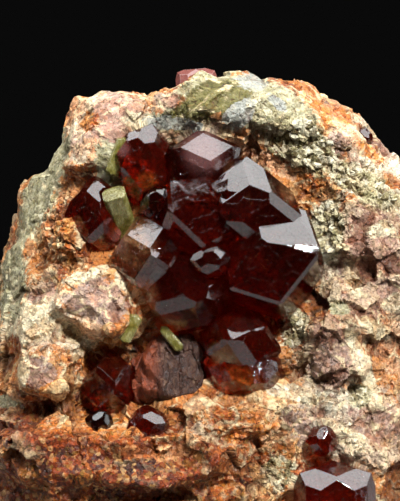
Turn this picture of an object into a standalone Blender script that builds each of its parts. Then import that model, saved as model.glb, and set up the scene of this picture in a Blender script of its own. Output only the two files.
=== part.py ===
"""Garnet crystals in matrix: one rock with see-through red crystals grown in the pockets of its face.

Blender units are metres and +Z is up. The rock stands on a base that was sawn flat. The origin lies on that
base, under the middle of the rock, and the crystal face looks towards -Y and leans back a little.

Everything is placed in the face frame, in millimetres: across to the right, up along the face, and out of the
face towards the viewer. Its zero is the middle of the crystal face.
"""

import math
from collections import namedtuple
from itertools import product

import bmesh
import bpy
from mathutils import Euler, Matrix, Vector, noise

MM = 0.001
FACE_LEAN = math.radians(12)  # the crystal face leans back from upright by this
FACE_HEIGHT = 39 * MM  # the middle of the face above the sawn base
FACE_AHEAD = 8.5 * MM  # and in front of the origin
CLEARANCE = 0.3  # between a crystal and the wall of its pocket
SEED = 7  # of the rock's broken surface


def in_face(across, up, out):
    """A point of the face frame in Blender's axes, in metres."""
    return Vector((across, -out, up)) * MM


# --- Crystal forms -------------------------------------------------------------------------------------------

DODECAHEDRON = [v for v in product((-1, 0, 1), repeat=3) if sorted(map(abs, v)) == [0, 1, 1]]
TRAPEZOHEDRON = [v for v in product((-2, -1, 1, 2), repeat=3) if sorted(map(abs, v)) == [1, 1, 2]]

# A garnet's place is its middle. Its size is from there to its trapezohedron faces, and rhomb is how far its
# dodecahedron faces lie as a share of that. Turn is in degrees about the face frame's axes. Longer is how much
# more it grew each way along the face, at an angle counted from across.
Garnet = namedtuple("Garnet", "place size rhomb turn longer along breaks", defaults=(0, 0, ()))

# A plane that a crystal broke along or grew against: the way it faces in the face frame, and how far from the
# crystal's middle it lies.
Break = namedtuple("Break", "facing distance")


def garnet_planes(garnet):
    """The faces that bound a garnet, as (unit normal in the crystal's own axes, distance from its middle)."""
    to_crystal = Euler([math.radians(a) for a in garnet.turn]).to_matrix().inverted()
    angle = math.radians(garnet.along)
    growth = to_crystal @ Vector((math.cos(angle), 0, math.sin(angle)))
    planes = []
    for form, distance in ((DODECAHEDRON, garnet.size * garnet.rhomb), (TRAPEZOHEDRON, garnet.size)):
        for indices in form:
            normal = Vector(indices).normalized()
            planes.append((normal, distance + garnet.longer * abs(normal.dot(growth))))
    for rough in garnet.breaks:
        planes.append((to_crystal @ in_face(*rough.facing).normalized(), rough.distance))
    return planes


def solid_between(name, planes, extra=0.0):
    """The closed solid that lies inside every plane, each moved out by extra millimetres."""
    bm = bmesh.new()
    bmesh.ops.create_cube(bm, size=4 * MM * max(distance for _, distance in planes))
    for normal, distance in planes:
        cut = bmesh.ops.bisect_plane(
            bm,
            geom=bm.verts[:] + bm.edges[:] + bm.faces[:],
            dist=1e-7,
            plane_co=normal * (distance + extra) * MM,
            plane_no=normal,
            clear_outer=True,
        )
        rim = [part for part in cut["geom_cut"] if isinstance(part, bmesh.types.BMEdge)]
        if rim:
            bmesh.ops.edgeloop_fill(bm, edges=rim)
    bmesh.ops.remove_doubles(bm, verts=bm.verts, dist=0.02 * MM)
    bmesh.ops.dissolve_degenerate(bm, dist=0.02 * MM, edges=bm.edges)
    bmesh.ops.recalc_face_normals(bm, faces=bm.faces)
    mesh = bpy.data.meshes.new(name)
    bm.to_mesh(mesh)
    bm.free()
    return mesh


# --- Scene helpers -------------------------------------------------------------------------------------------


def clear_scene():
    for old in list(bpy.data.objects):
        bpy.data.objects.remove(old)


def material(name, colour, roughness, metallic=0.0):
    made = bpy.data.materials.new(name)
    made.use_nodes = True
    shader = made.node_tree.nodes["Principled BSDF"]
    shader.inputs["Base Color"].default_value = (*colour, 1)
    shader.inputs["Roughness"].default_value = roughness
    shader.inputs["Metallic"].default_value = metallic
    return made


def add_object(name, mesh, parent, look=None, place=(0, 0, 0), turn=(0, 0, 0)):
    """Links a mesh into the scene at a place and turn of the face frame."""
    made = bpy.data.objects.new(name, mesh)
    bpy.context.scene.collection.objects.link(made)
    made.parent = parent
    made.location = in_face(*place)
    made.rotation_euler = [math.radians(angle) for angle in turn]
    if look:
        mesh.materials.append(look)
    return made


def make_helper(made):
    """A cutter or a union's operand stays out of the finished object."""
    made.hide_render = True
    made.display_type = "WIRE"
    return made


def combine(made, name, operation, helpers):
    """A Boolean of an object with every helper."""
    group = bpy.data.collections.new(name)
    for helper in helpers:
        group.objects.link(helper)
    modifier = made.modifiers.new(name, "BOOLEAN")
    modifier.operation = operation
    modifier.operand_type = "COLLECTION"
    modifier.collection = group
    modifier.solver = "EXACT"
    modifier.use_self = True


# --- The rock ------------------------------------------------------------------------------------------------

# The outline of the rock as the viewer sees it, in (across, up), clockwise from the crown.
OUTLINE = (
    (0, 23.4), (1.6, 22.7), (5.2, 23.2), (6.8, 23.1), (8.3, 22.1), (12.4, 22.0), (13.7, 21.3), (16.3, 20.5),
    (18.2, 20.1), (19.8, 18.9), (21.5, 17.2), (23.0, 15.6), (26.0, 12.2), (29.9, 6.6), (31.8, 0), (32.4, -8),
    (31.8, -17), (30.5, -26), (29.0, -36), (28.0, -48), (0, -52), (-25.0, -48), (-27.5, -36), (-29.5, -26),
    (-30.6, -17), (-30.0, -9), (-28.4, -4.5), (-26.6, -1.0), (-25.4, 4.6), (-21.4, 9.8), (-19.6, 11.7),
    (-18.5, 14.2), (-17.2, 17.0), (-16.3, 19.6), (-13.0, 20.3), (-8.7, 20.7), (-7.2, 19.6), (-5.2, 20.6),
    (-2.6, 21.6), (-1.3, 22.9),
)  # fmt: skip
OUTLINE_CENTRE = (0, -8)
RIM_OUT = -8.0  # the outline lies this far behind the middle of the face
FRONT_BULGE = 11.0  # from the outline to the front
BACK_BULGE = 27.0  # and to the back
SQUARENESS = 0.62  # 1 gives an ellipsoid, and less a blockier rock with sharper shoulders
BACK_SQUARENESS = 0.8
GRID = 40  # quads along each side of the cube that the rock is worked from
EVEN_STEP = 0.6  # the worked surface is evened out to steps of this size, which undoes its folds
KEPT = 0.048  # share of the triangles that are then kept, most of them where it is rough
FRONT_SHARE = math.radians(18)  # how far round the cube the denser front reaches
LUMP_SIZE = 5.5  # the rock breaks into lumps about this wide
LUMP_HEIGHT = 1.1
LUMP_TILT = 0.5  # how far a lump's face tilts
ROUGHNESS = 0.35  # height of the finer roughness

# A chip is a plane that the rock broke along: a point of the plane and the way it faces.
Chip = namedtuple("Chip", "place facing")
CHIPS = {
    "left flank": Chip((-21.5, 9.0, -6.5), (-0.78, 0.42, 0.46)),
    "upper left side": Chip((-17.6, 15.0, -5.0), (-0.82, 0.25, 0.5)),
    "right shoulder": Chip((22.0, 14.2, -4.5), (0.52, 0.55, 0.66)),
    "back of the crown": Chip((0, 21.5, -19.0), (0.05, 0.75, -0.66)),
    "back left": Chip((-22, -6, -24), (-0.72, 0.12, -0.68)),
    "back right": Chip((24, -10, -23), (0.66, 0.2, -0.72)),
    "back": Chip((0, -10, -33.5), (0.08, 0.1, -1)),
    "low back": Chip((6, -30, -31), (0.2, -0.35, -0.9)),
}

# A rise lifts or sinks part of the face: its middle, half sizes, turn in degrees, height (a hollow is below
# zero) and how much of its half size is shoulder.
Rise = namedtuple("Rise", "across up half_width half_height turn height shoulder")
RISES = {
    "upper left block": Rise(-12.0, 14.5, 5.0, 6.0, 8, 1.8, 0.35),
    "green mass": Rise(2.2, 19.0, 6.0, 3.0, -4, 1.6, 0.45),
    "arch in the green mass": Rise(-1.3, 18.0, 2.4, 1.2, 38, -1.4, 0.6),
    "granular green mass": Rise(11.0, 15.2, 5.2, 4.2, -30, 1.8, 0.4),
    "pit in the granular mass": Rise(9.0, 13.9, 2.0, 1.4, -25, -1.7, 0.8),
    "second pit": Rise(13.6, 12.6, 1.8, 1.6, 0, -1.6, 0.9),
    "shoulder ridge": Rise(18.6, 14.6, 4.6, 2.0, -42, 1.6, 0.5),
    "seat of the main cluster": Rise(2.6, 1.6, 12.2, 12.8, 0, -2.2, 0.3),
    "seat of the upper left garnet": Rise(-6.7, 10.5, 3.8, 4.8, 0, -1.6, 0.35),
    "hollow at the left garnet": Rise(-12.4, 5.0, 3.4, 5.0, 15, -2.4, 0.35),
    "orange hollow": Rise(-14.2, 9.8, 2.6, 1.2, 12, -1.2, 0.5),
    "left hump": Rise(-17.6, 3.0, 3.6, 4.0, 0, 1.0, 0.5),
    "middle left hump": Rise(-12.4, -5.9, 5.6, 4.0, -14, 3.0, 0.28),
    "far left hump": Rise(-21.5, -8.5, 4.0, 3.5, 0, 2.0, 0.4),
    "left block": Rise(-18.4, -14.4, 3.9, 3.1, -3, 3.6, 0.2),
    "pocket of the lower left garnet": Rise(-11.2, -15.8, 4.3, 5.2, 8, -3.2, 0.25),
    "orange lip over that pocket": Rise(-11.2, -10.8, 3.8, 1.0, 27, 1.6, 0.5),
    "cavity under the main cluster": Rise(-5.8, -10.6, 3.2, 2.0, -20, -3.0, 0.5),
    "dark hole beside the lower right garnet": Rise(9.2, -8.6, 1.7, 2.4, 12, -3.0, 0.5),
    "lower left ledge": Rise(-11.5, -25.0, 15.0, 3.6, -2, 5.6, 0.3),
    "foot of the lower left ledge": Rise(-11.5, -32.5, 15.5, 5.0, 0, 2.6, 0.5),
    "ledge under the lower right garnet": Rise(4.6, -20.6, 8.0, 2.4, 4, 3.4, 0.3),
    "low middle hump": Rise(7.0, -26.8, 5.4, 4.4, 10, 2.4, 0.4),
    "right middle hump": Rise(16.9, -12.0, 3.6, 4.8, 14, 2.6, 0.22),
    "pit under that hump": Rise(19.4, -17.6, 1.5, 0.9, -10, -1.8, 0.6),
    "right field": Rise(21.5, -1.0, 5.5, 9.0, 6, 1.2, 0.35),
    "plate at the lower right": Rise(20.5, -22.0, 6.4, 4.2, -22, 2.0, 0.3),
    "lower right corner": Rise(18.0, -33.0, 8.0, 6.0, 0, 1.8, 0.4),
}


def reach_of_outline(direction):
    """How far the outline lies from its centre in a direction of (across, up)."""
    centre = Vector(OUTLINE_CENTRE)
    for start, end in zip(OUTLINE, OUTLINE[1:] + OUTLINE[:1]):
        a = Vector(start) - centre
        b = Vector(end) - centre
        along = b - a
        crossing = direction.cross(along)
        if abs(crossing) < 1e-9:
            continue
        reach = a.cross(along) / crossing
        share = a.cross(direction) / crossing
        if reach > 0 and -1e-6 <= share <= 1 + 1e-6:
            return reach
    raise ValueError("the outline doesn't go round its centre")


def body_point(direction):
    """Where a direction of the worked cube lands on the blocky body, as (across, up, out)."""
    latitude = math.asin(max(-1.0, min(1.0, direction.z)))
    latitude += FRONT_SHARE * (1 - (2 * latitude / math.pi) ** 2)
    flat = Vector((direction.x, direction.y))
    if flat.length < 1e-9:
        flat = Vector((1, 0))
    flat.normalize()
    bulge, power = (FRONT_BULGE, SQUARENESS) if latitude > 0 else (BACK_BULGE, BACK_SQUARENESS)
    spread = math.cos(latitude) ** power
    depth = math.copysign(abs(math.sin(latitude)) ** power * bulge, latitude)
    flat *= reach_of_outline(flat) * spread
    return Vector((OUTLINE_CENTRE[0] + flat.x, OUTLINE_CENTRE[1] + flat.y, RIM_OUT + depth))


def chipped(point):
    """Moves a point that lies beyond a chip back to its plane."""
    for chip in CHIPS.values():
        normal = Vector(chip.facing).normalized()
        beyond = (point - Vector(chip.place)).dot(normal)
        if beyond > 0:
            point = point - normal * beyond
    return point


def smooth_step(value):
    value = max(0.0, min(1.0, value))
    return value * value * (3 - 2 * value)


def relief(point):
    """How far all the rises together lift the face at a point."""
    lift = 0.0
    for rise in RISES.values():
        turn = math.radians(rise.turn)
        across = point.x - rise.across
        up = point.y - rise.up
        along = (across * math.cos(turn) + up * math.sin(turn)) / rise.half_width
        beside = (up * math.cos(turn) - across * math.sin(turn)) / rise.half_height
        distance = (abs(along) ** 3 + abs(beside) ** 3) ** (1 / 3)
        lift += rise.height * smooth_step((1 + rise.shoulder / 2 - distance) / rise.shoulder)
    return lift


def fracture_lumps(point):
    """Height of the broken surface: lumps that each stand and tilt their own way, and finer roughness."""
    spot = point / LUMP_SIZE + 0.18 * noise.noise_vector(point / LUMP_SIZE * 1.7)
    middle = noise.voronoi(spot)[1][0]
    tilt = noise.cell_vector(middle * 9.7) - Vector((0.5, 0.5, 0.5))
    stand = noise.cell(middle * 7.3) - 0.5
    lump = stand * LUMP_HEIGHT + (spot - middle).dot(tilt) * LUMP_SIZE * LUMP_TILT
    return lump + ROUGHNESS * noise.fractal(point * 0.4, 0.8, 2.1, 3)


def rock_mesh():
    """The rock worked from a gridded cube, before its base is sawn: chips, relief and fracture lumps."""
    bm = bmesh.new()
    bmesh.ops.create_cube(bm, size=2)
    bmesh.ops.subdivide_edges(bm, edges=bm.edges, cuts=GRID - 1, use_grid_fill=True)
    for vertex in bm.verts:
        direction = vertex.co.normalized()
        point = chipped(body_point(direction))
        facing = smooth_step((point.z - RIM_OUT) / 4)
        point.z += relief(point) * facing
        outward = Vector((direction.x, direction.y, direction.z * 1.6)).normalized()
        point += outward * fracture_lumps(point)
        vertex.co = in_face(*point)
    mesh = bpy.data.meshes.new("matrix")
    bm.to_mesh(mesh)
    bm.free()
    return mesh


def saw_base(bm):
    """Cuts the rock level and closes it with the flat face that it stands on."""
    down = in_face(0, -math.cos(FACE_LEAN), -math.sin(FACE_LEAN)).normalized()
    cut = bmesh.ops.bisect_plane(
        bm,
        geom=bm.verts[:] + bm.edges[:] + bm.faces[:],
        plane_co=down * FACE_HEIGHT,
        plane_no=down,
        clear_outer=True,
    )
    rim = [part for part in cut["geom_cut"] if isinstance(part, bmesh.types.BMEdge)]
    bmesh.ops.edgeloop_fill(bm, edges=rim)


def largest_body(bm):
    """The vertices of the body that has the most of them."""
    unseen = set(bm.verts)
    bodies = []
    while unseen:
        body = {unseen.pop()}
        to_follow = list(body)
        while to_follow:
            vertex = to_follow.pop()
            for edge in vertex.link_edges:
                other = edge.other_vert(vertex)
                if other in unseen:
                    unseen.discard(other)
                    body.add(other)
                    to_follow.append(other)
        bodies.append(body)
    return max(bodies, key=len)


def finish_rock(made):
    """Applies the modifiers, saws the base and deletes the crumbs that a pocket cut loose."""
    graph = bpy.context.evaluated_depsgraph_get()
    mesh = bpy.data.meshes.new_from_object(made.evaluated_get(graph))
    bm = bmesh.new()
    bm.from_mesh(mesh)
    saw_base(bm)
    kept = largest_body(bm)
    bmesh.ops.delete(bm, geom=[vertex for vertex in bm.verts if vertex not in kept], context="VERTS")
    bmesh.ops.remove_doubles(bm, verts=bm.verts, dist=0.01 * MM)
    bmesh.ops.dissolve_degenerate(bm, dist=0.01 * MM, edges=bm.edges)
    bm.to_mesh(mesh)
    bm.free()
    made.modifiers.clear()
    made.data = mesh


# --- The crystals --------------------------------------------------------------------------------------------

# Each piece is one garnet, or several that grew into each other. Those called broken end on a rough break
# that faces the viewer.
GARNETS = {
    "garnet_main_cluster": (
        Garnet((0.1, 4.1, 3.0), 5.1, 0.90, (-4, 7, -35), 0.5, 107),
        Garnet((6.2, 4.7, 2.6), 5.1, 0.94, (8, 8, -26), 1.2, 146),
        Garnet((8.8, -1.0, 3.0), 6.1, 0.89, (-4, -21, 45), 0.9, 67, (Break((0.13, 0.67, 0.73), 5.7),)),
        Garnet((0.3, 9.9, 1.0), 4.7, 0.93, (-27, -28, -27), 0.2, 142),
        Garnet((-5.9, -1.0, 2.2), 4.3, 0.91, (-3, -12, 4), 0.6, 123),
        Garnet((-1.2, -4.6, 1.8), 5.2, 0.95, (12, 20, 15), 0.8, 10),
        Garnet((1.4, -1.3, 6.4), 1.9, 1.0, (10, 5, 20), 0.4, 0),
        Garnet((3.6, 6.5, 5.5), 2.0, 1.1, (27, 1, -11)),
        Garnet((-5.4, 5.8, 1.9), 1.8, 1.0, (12, -14, 20), 0.7, 70),
    ),
    "garnet_lower_right": (
        Garnet((4.9, -11.2, 2.8), 3.8, 0.92, (-5, 15, -13), 0.7, 179),
        Garnet((5.6, -14.6, 1.8), 3.7, 0.98, (20, 10, 10), 0.9, 0),
    ),
    "garnet_upper_left": (Garnet((-6.8, 10.5, 0.2), 3.4, 1.02, (21, 2, 42), 1.4, -80),),
    "garnet_lower_left": (Garnet((-11.0, -16.6, 0.8), 3.2, 0.90, (3, -4, 8), 0.5, 80),),
    "garnet_shoulder": (Garnet((20.7, 14.3, -5.9), 1.5, 1.0, (0, 20, 30)),),
    "garnet_right_small": (Garnet((15.0, -23.4, 3.4), 1.9, 1.0, (30, 0, 20)),),
    "garnet_crown": (Garnet((-0.4, 21.2, -5.8), 2.1, 1.0, (10, 40, 10), 0.6, 0),),
    "garnet_ledge": (Garnet((-6.3, -21.8, 3.7), 2.3, 1.0, (-17, 4, 39), 0.4, 0),),
    "garnet_ledge_dark": (Garnet((-12.3, -21.3, 3.4), 1.6, 1.0, (30, 20, 0)),),
    "garnet_foot": (Garnet((16.4, -30.2, 4.4), 4.1, 1.02, (33, -40, -22), 0.8, 0),),
    "garnet_broken_middle": (
        Garnet((-3.1, -14.7, 0.7), 4.0, 0.95, (10, 10, 40), 0.6, 90, (Break((0.28, 0.16, 1), 2.6),)),
        Garnet((-5.9, -15.9, 0.5), 2.8, 1.0, (15, 25, 5), 0.8, 60),
    ),
    "garnet_left": (Garnet((-12.6, 4.4, 0.2), 3.1, 0.95, (6, -5, 8), 1.2, 100),),
}

# The green crystals are long prisms. Width and thickness are between their side faces, and point is how much
# of the length their ends take.
Prism = namedtuple("Prism", "place width thickness length point turn")
DIOPSIDES = {
    "diopside_prism": Prism((-9.9, 4.7, 1.4), 2.9, 2.6, 6.4, 0.06, (38, -17, 0)),
    "diopside_upper": Prism((-10.2, 11.6, 1.6), 1.7, 1.5, 5.2, 0.3, (0, 20, 0)),
    "diopside_blade_left": Prism((-8.6, -9.6, 3.4), 1.7, 1.4, 4.0, 0.35, (0, 28, 0)),
    "diopside_blade_right": Prism((-3.5, -10.8, 3.4), 1.2, 1.0, 4.0, 0.4, (0, -40, 0)),
}


def prism_planes(prism):
    """Eight side faces and four sloping faces at each end."""
    planes = []
    for side in (-1, 1):
        planes.append((Vector((side, 0, 0)), prism.width / 2))
        planes.append((Vector((0, side, 0)), prism.thickness / 2))
    for x, y in product((-1, 1), repeat=2):
        planes.append((Vector((x, y, 0)).normalized(), 0.58 * (prism.width + prism.thickness) / 2))
        for end in (-1, 1):
            slope = Vector((x * 0.5, y * 0.4, end * prism.width / (prism.length * prism.point)))
            planes.append((slope.normalized(), prism.length / 2 * abs(slope.normalized().z)))
    return planes


def add_crystal(name, planes, parent, look, place, turn):
    """One crystal, and the cutter that makes room for it in the rock and in its neighbours."""
    crystal = add_object(name, solid_between(name, planes), parent, look, place, turn)
    room = solid_between(name + "_room", planes, CLEARANCE)
    cutter = make_helper(add_object(name + "_room", room, parent, None, place, turn))
    return crystal, cutter


def add_garnet(name, grown, parent, look, earlier):
    """A garnet, or several grown into one solid, that ends where an earlier crystal stood in its way."""
    lobes, cutters = [], []
    for number, garnet in enumerate(grown):
        planes = garnet_planes(garnet)
        lobe, cutter = add_crystal(f"{name}_{number}", planes, parent, look, garnet.place, garnet.turn)
        lobes.append(lobe)
        cutters.append(cutter)
    whole, *others = lobes
    whole.name = name
    if others:
        combine(whole, "grown together", "UNION", [make_helper(lobe) for lobe in others])
    combine(whole, "room for earlier ones", "DIFFERENCE", earlier)
    return cutters


def main():
    clear_scene()
    noise.seed_set(SEED)
    face = bpy.data.objects.new("face_frame", None)
    bpy.context.scene.collection.objects.link(face)
    face.location = (0, -FACE_AHEAD, FACE_HEIGHT)
    face.rotation_euler = (-FACE_LEAN, 0, 0)

    stone = material("massive garnet rock", (0.62, 0.42, 0.28), 0.8)
    red = material("dark red garnet", (0.20, 0.03, 0.015), 0.08)
    brown = material("broken garnet", (0.24, 0.13, 0.09), 0.6)
    green = material("green diopside", (0.45, 0.47, 0.22), 0.4)

    cutters = []
    for name, prism in DIOPSIDES.items():
        cutters.append(add_crystal(name, prism_planes(prism), face, green, prism.place, prism.turn)[1])
    for name, grown in GARNETS.items():
        look = brown if name.startswith("garnet_broken") else red
        cutters += add_garnet(name, grown, face, look, list(cutters))

    rock = add_object("matrix", rock_mesh(), face, stone)
    evened = rock.modifiers.new("evened", "REMESH")
    evened.mode = "VOXEL"
    evened.voxel_size = EVEN_STEP * MM
    thinned = rock.modifiers.new("thinned", "DECIMATE")
    thinned.ratio = KEPT
    combine(rock, "pockets", "DIFFERENCE", cutters)
    finish_rock(rock)


main()
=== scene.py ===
"""Looks of the garnet specimen: a broken rock of massive garnet and diopside, with red crystals in it."""

import math

import bmesh
import bpy
import numpy as np
from mathutils import Euler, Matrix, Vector
from mathutils.bvhtree import BVHTree


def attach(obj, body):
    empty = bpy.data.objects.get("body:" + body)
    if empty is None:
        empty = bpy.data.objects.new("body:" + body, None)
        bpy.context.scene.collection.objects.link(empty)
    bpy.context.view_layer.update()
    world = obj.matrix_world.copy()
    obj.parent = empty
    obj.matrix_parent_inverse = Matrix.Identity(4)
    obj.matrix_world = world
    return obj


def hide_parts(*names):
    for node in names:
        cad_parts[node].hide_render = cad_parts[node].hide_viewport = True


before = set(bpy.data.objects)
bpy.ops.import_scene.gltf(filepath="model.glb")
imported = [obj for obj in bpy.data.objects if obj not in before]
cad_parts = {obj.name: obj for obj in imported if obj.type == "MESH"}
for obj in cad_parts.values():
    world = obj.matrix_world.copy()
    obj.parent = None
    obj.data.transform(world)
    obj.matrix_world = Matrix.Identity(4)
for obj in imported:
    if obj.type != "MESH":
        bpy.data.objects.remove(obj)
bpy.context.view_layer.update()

MM = 0.001


# --- The rock -------------------------------------------------------------------------------------
# The matrix is massive garnet, orange, tan and mauve, with granular pale green diopside over its crown
# and down its right side. It broke along grains of a few millimetres, and its base is sawn flat.

FACE_MIDDLE = Vector((0, -8.5, 39)) * MM
FACE_LEAN = math.radians(12)


def to_face(points):
    """World places in metres as across, up and out of the leaning crystal face, in millimetres."""
    rel = (points - np.array(FACE_MIDDLE)) / MM
    up = rel[:, 1] * math.sin(FACE_LEAN) + rel[:, 2] * math.cos(FACE_LEAN)
    out = rel[:, 2] * math.sin(FACE_LEAN) - rel[:, 1] * math.cos(FACE_LEAN)
    return np.column_stack((rel[:, 0], up, out))


SAME_PLACE = 1e-7  # metres between corners that are one


def merged(name):
    """A copy of a CAD node's mesh as a bmesh with its loose triangles joined."""
    bm = bmesh.new()
    bm.from_mesh(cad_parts[name].data)
    bmesh.ops.remove_doubles(bm, verts=bm.verts, dist=SAME_PLACE)
    return bm


def add_piece(name, mesh):
    made = bpy.data.objects.new(name, mesh)
    bpy.context.scene.collection.objects.link(made)
    return made


def freeze(piece):
    """Turns a piece's modifiers into plain mesh."""
    graph = bpy.context.evaluated_depsgraph_get()
    mesh = bpy.data.meshes.new_from_object(piece.evaluated_get(graph))
    piece.modifiers.clear()
    piece.data = mesh
    return mesh


def node(tree, kind, inputs=None, **settings):
    """Adds a node; an input is given as a value or as the socket that feeds it."""
    made = tree.nodes.new(kind)
    for key, value in settings.items():
        setattr(made, key, value)
    for key, value in (inputs or {}).items():
        if isinstance(value, bpy.types.NodeSocket):
            tree.links.new(value, made.inputs[key])
        else:
            made.inputs[key].default_value = value
    return made


def sums(tree, operation, *values):
    return node(tree, "ShaderNodeMath", dict(enumerate(values)), operation=operation).outputs[0]


def plus(tree, a, b):
    return sums(tree, "ADD", a, b)


def times(tree, a, b):
    return sums(tree, "MULTIPLY", a, b)


def times_plus(tree, a, b, c):
    return sums(tree, "MULTIPLY_ADD", a, b, c)


def vectors(tree, operation, *values):
    made = node(tree, "ShaderNodeVectorMath", dict(enumerate(values)), operation=operation)
    return made.outputs["Value" if operation == "DOT_PRODUCT" else "Vector"]


def scaled(tree, vector, factor):
    made = node(tree, "ShaderNodeVectorMath", {0: vector, "Scale": factor}, operation="SCALE")
    return made.outputs["Vector"]


STIR = 1.6  # wavers of a border over a grain's width


def grains(tree, spot, size, waver):
    """Grains of a size in millimetres: each one's own colour, the way from its middle, and its border."""
    stir = node(tree, "ShaderNodeTexNoise", {"Vector": spot, "Scale": STIR / size, "Detail": 2.0})
    moved = vectors(tree, "SUBTRACT", stir.outputs["Color"], (0.5, 0.5, 0.5))
    place = vectors(tree, "ADD", spot, scaled(tree, moved, waver * size))
    cell = node(tree, "ShaderNodeTexVoronoi", {"Vector": place, "Scale": 1 / size})
    edge = node(
        tree, "ShaderNodeTexVoronoi", {"Vector": place, "Scale": 1 / size}, feature="DISTANCE_TO_EDGE"
    )
    away = vectors(tree, "SUBTRACT", place, cell.outputs["Position"])
    return cell.outputs["Color"], away, edge.outputs["Distance"]


def grain_height(tree, colour, away, tilt, step):
    """Every grain broke on a face that tilts its own way and stands at its own height."""
    lean = vectors(tree, "SUBTRACT", colour, (0.5, 0.5, 0.5))
    slope = times(tree, vectors(tree, "DOT_PRODUCT", away, lean), tilt)
    stand = sums(tree, "SUBTRACT", node(tree, "ShaderNodeSeparateXYZ", {0: colour}).outputs[1], 0.5)
    return times_plus(tree, stand, step, slope)


def new_material(name):
    made = bpy.data.materials.new(name)
    made.use_nodes = True
    made.node_tree.nodes.clear()
    return made, made.node_tree


def new_shaping(name, values):
    """A geometry node tree with a named input for each value, and the identifiers of those inputs."""
    made = bpy.data.node_groups.new(name, "GeometryNodeTree")
    made.is_modifier = True
    made.interface.new_socket("Geometry", in_out="INPUT", socket_type="NodeSocketGeometry")
    sockets = {}
    for label, value in values.items():
        socket = made.interface.new_socket(label, in_out="INPUT", socket_type="NodeSocketFloat")
        socket.default_value = value
        sockets[label] = socket.identifier
    made.interface.new_socket("Geometry", in_out="OUTPUT", socket_type="NodeSocketGeometry")
    return made, sockets


def end_shaping(tree, geometry, material):
    whole = node(tree, "GeometryNodeRealizeInstances", {"Geometry": geometry}).outputs[0]
    dressed = node(tree, "GeometryNodeSetMaterial", {"Geometry": whole, "Material": material})
    node(tree, "NodeGroupOutput", {"Geometry": dressed.outputs[0]})


def shape(piece, tree, sockets, values):
    """Puts a piece through a geometry node tree and keeps the outcome as plain mesh."""
    shaping = piece.modifiers.new(tree.name, "NODES")
    shaping.node_group = tree
    for label, value in values.items():
        shaping[sockets[label]] = value
    return freeze(piece)


# Sizes of the grains, in millimetres, and how far their borders waver, as a share of their size.
BIG_GRAIN = 4.4
SMALL_GRAIN = 1.3
LUMP_GRAIN = 0.95
SUGAR_GRAIN = 0.36
CRUMB = 0.48
VEIN_GRAIN = 3.1
CRACK_GRAIN = 2.3
GRAIN_WAVER = 0.15
FINE_WAVER = 0.25
LOOSE_WAVER = 0.3

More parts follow.
